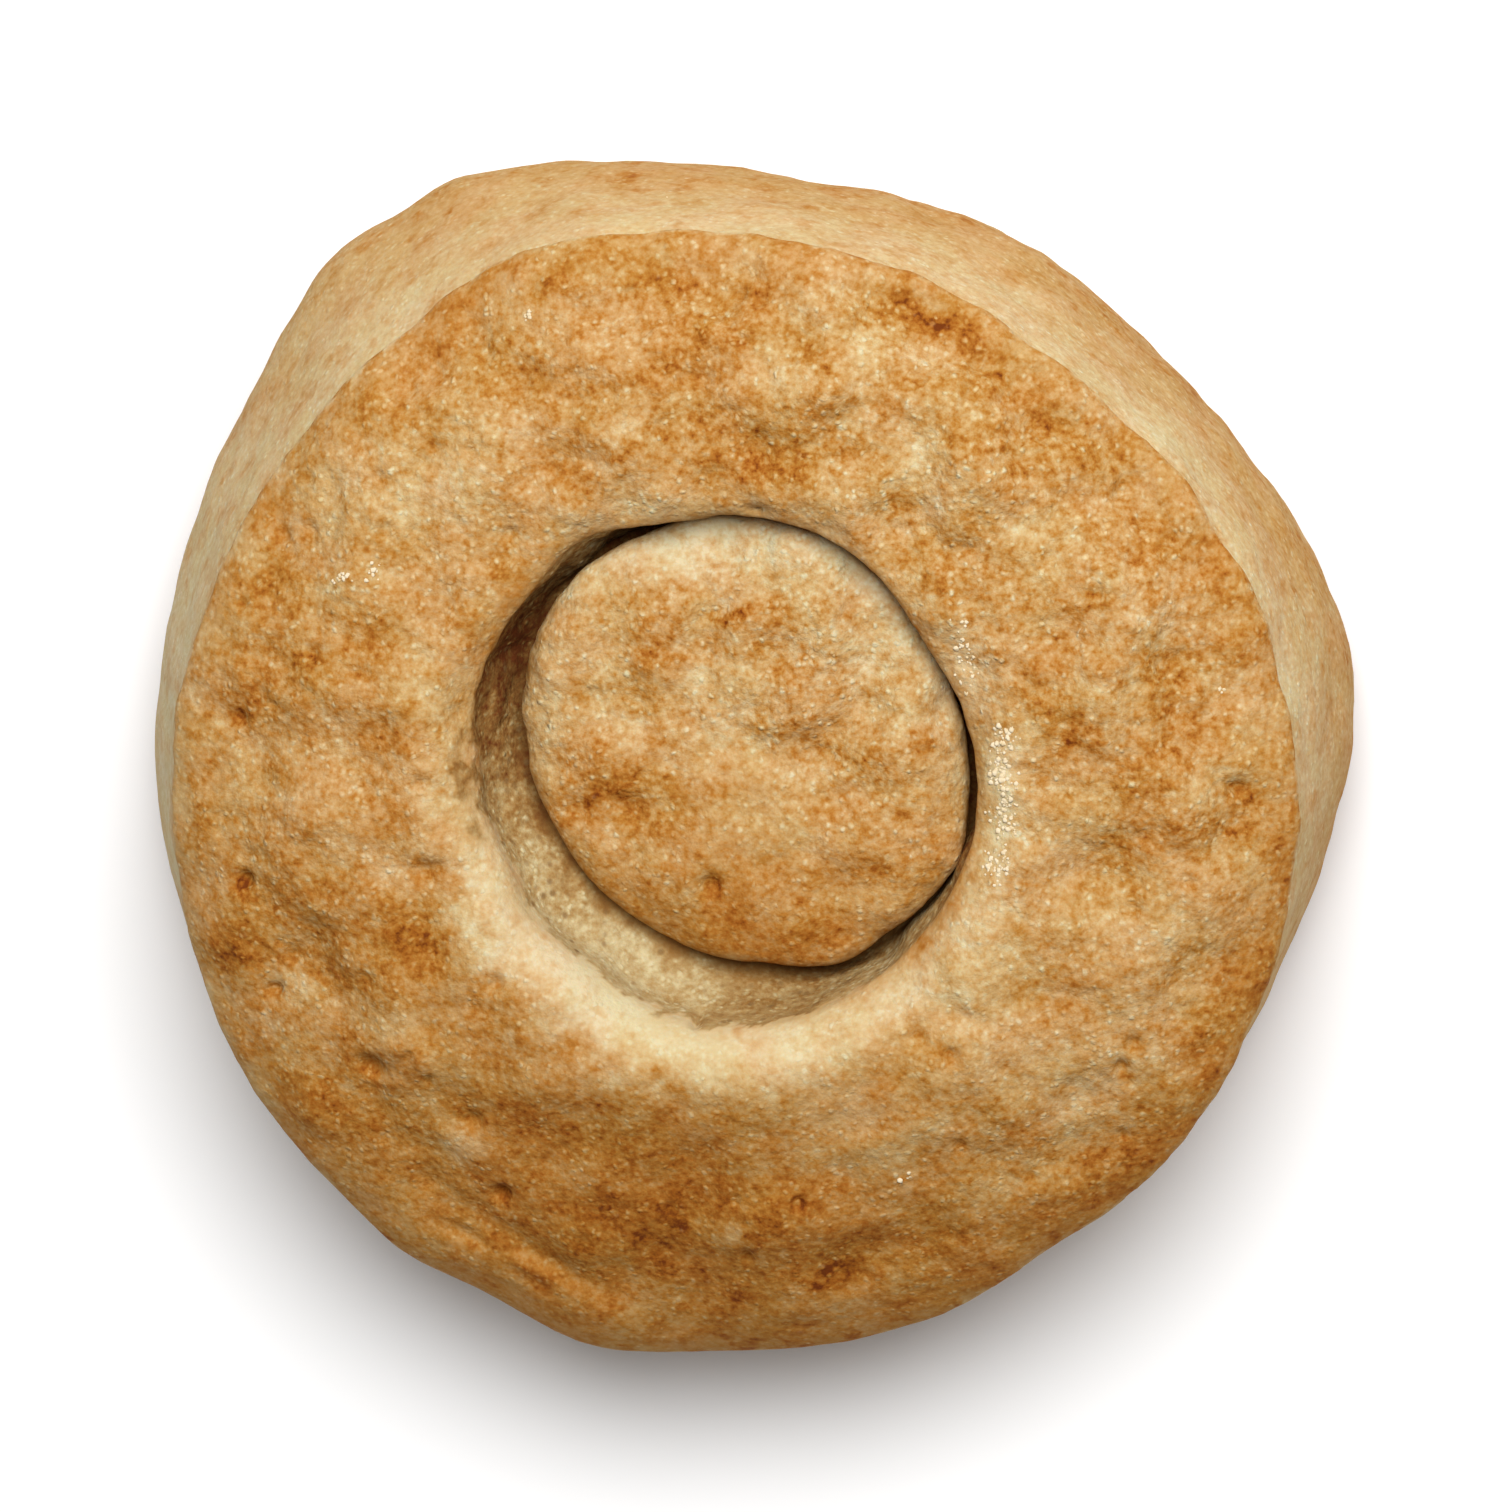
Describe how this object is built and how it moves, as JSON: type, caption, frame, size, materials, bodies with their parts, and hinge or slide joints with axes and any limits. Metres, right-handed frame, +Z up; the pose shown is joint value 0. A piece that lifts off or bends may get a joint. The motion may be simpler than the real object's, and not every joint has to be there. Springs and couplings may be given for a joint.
{
  "type": "baking powder biscuit",
  "caption": "Thick round baked biscuit with a bulging pale flank, a browned uneven top crust and a ring-shaped cut around a low centre round.",
  "frame": {"origin": "centre of the bounding box on the flat base", "axes": "+Z up from the base through the top crust; +Y towards the flank's two corners, the top edge of the picture; +X to the picture's right"},
  "size_m": [0.076, 0.0752, 0.0295],
  "materials": {
    "crust": "matte baked dough: golden brown mottled top crust, pale cream flank, lip and cut, browner base"
  },
  "bodies": {
    "root": {"biscuit": "crust"}
  },
  "joints": []
}
